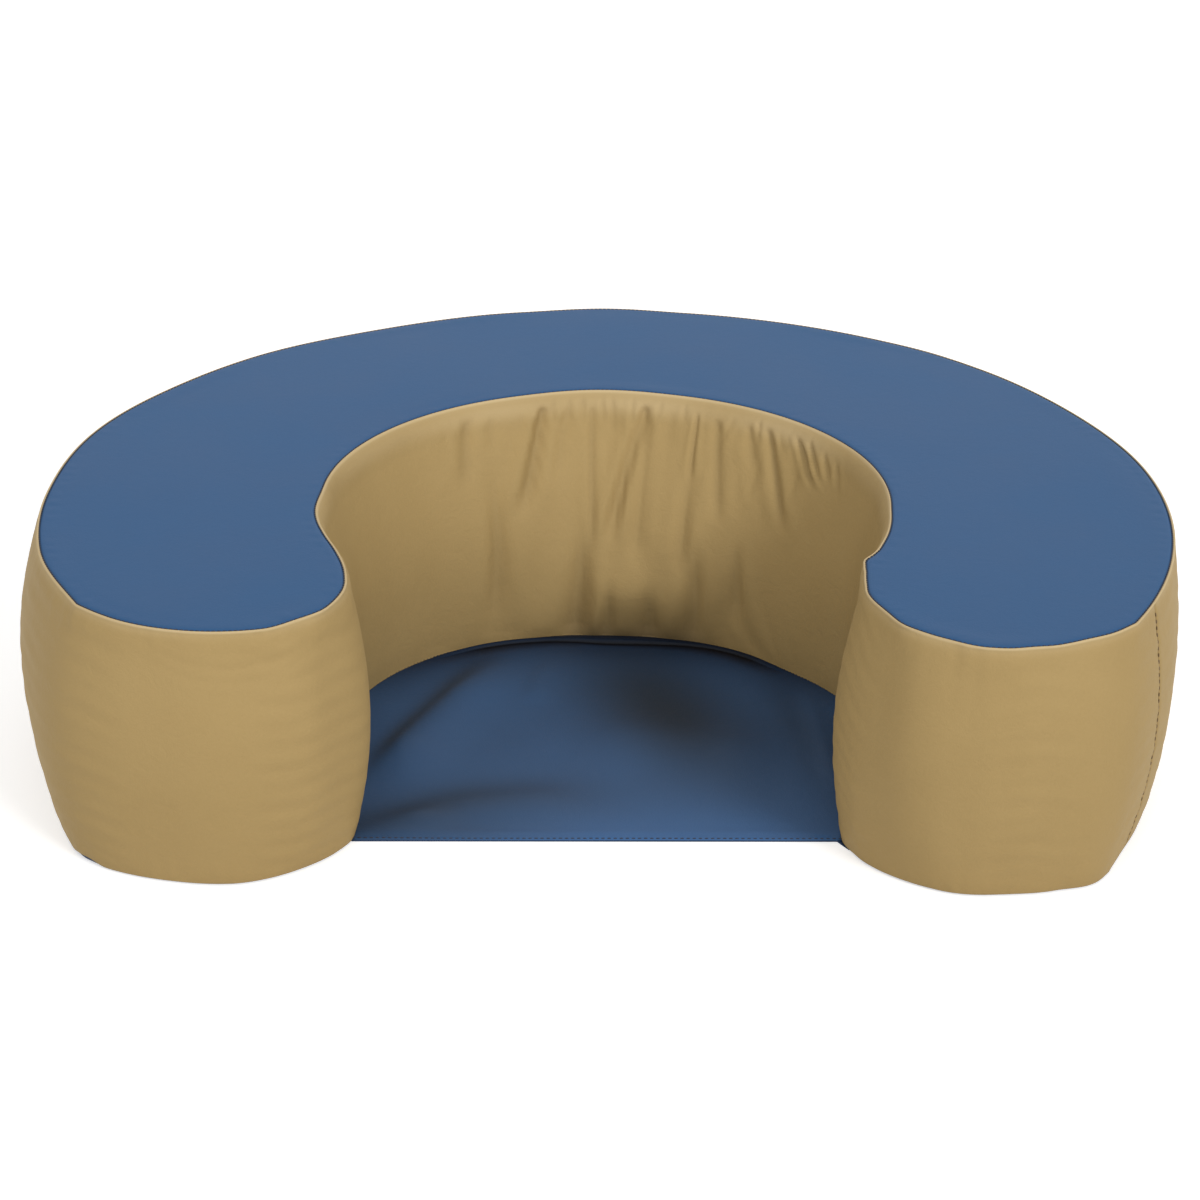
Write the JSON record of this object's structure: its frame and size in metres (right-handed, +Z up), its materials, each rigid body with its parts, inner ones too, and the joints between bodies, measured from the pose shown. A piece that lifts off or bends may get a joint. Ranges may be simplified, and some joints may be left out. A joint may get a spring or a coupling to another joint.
{
  "type": "baby floor seat",
  "caption": "C-shaped foam ring in a sewn vinyl cover with a leaning backrest, a flat vinyl floor and a zipped back, that props up a sitting baby.",
  "frame": {"origin": "centre of the ring, on the surface that the seat stands on", "axes": "+X to the right arm as seen from the open front, +Y to the back, +Z up"},
  "size_m": [0.8699, 0.6984, 0.198],
  "materials": {
    "foam": "open-cell polyurethane foam",
    "blue_vinyl": "fine-grained coated vinyl, satin",
    "navy_vinyl": "fine-grained coated vinyl, satin",
    "tan_vinyl": "fine-grained coated vinyl, satin",
    "zip_tape": "woven polyester",
    "zip_teeth": "moulded",
    "zip_metal": "nickel-plated, slightly dulled"
  },
  "bodies": {
    "seat": {"foam_core": "foam", "top_panel": "blue_vinyl", "base_panel": "navy_vinyl", "front_band": "tan_vinyl", "side_band": "tan_vinyl", "zip_band_upper": "tan_vinyl", "zip_band_lower": "tan_vinyl", "floor_upper_ply": "blue_vinyl", "floor_lower_ply": "navy_vinyl", "zip_tape_upper": "zip_tape", "zip_tape_lower": "zip_tape", "zip_teeth_upper": "zip_teeth", "zip_teeth_lower": "zip_teeth", "zip_top_stops": "zip_metal", "zip_bottom_stop": "zip_metal"},
    "slider": {"zip_slider": "zip_metal"},
    "pull": {"zip_pull": "zip_metal"}
  },
  "joints": [
    {"name": "zip_slide", "type": "hinge", "parent": "seat", "child": "slider", "pos_m": [0, 0, 0.099], "axis": [0, 0, 1], "range_deg": [0, 116], "deforming": ["zip_teeth_upper", "zip_teeth_lower"]},
    {"name": "pull_swing", "type": "hinge", "parent": "slider", "child": "pull", "pos_m": [0.37136, 0.2305, 0.099], "axis": [0, 0, -1], "range_deg": [0, 170]}
  ]
}
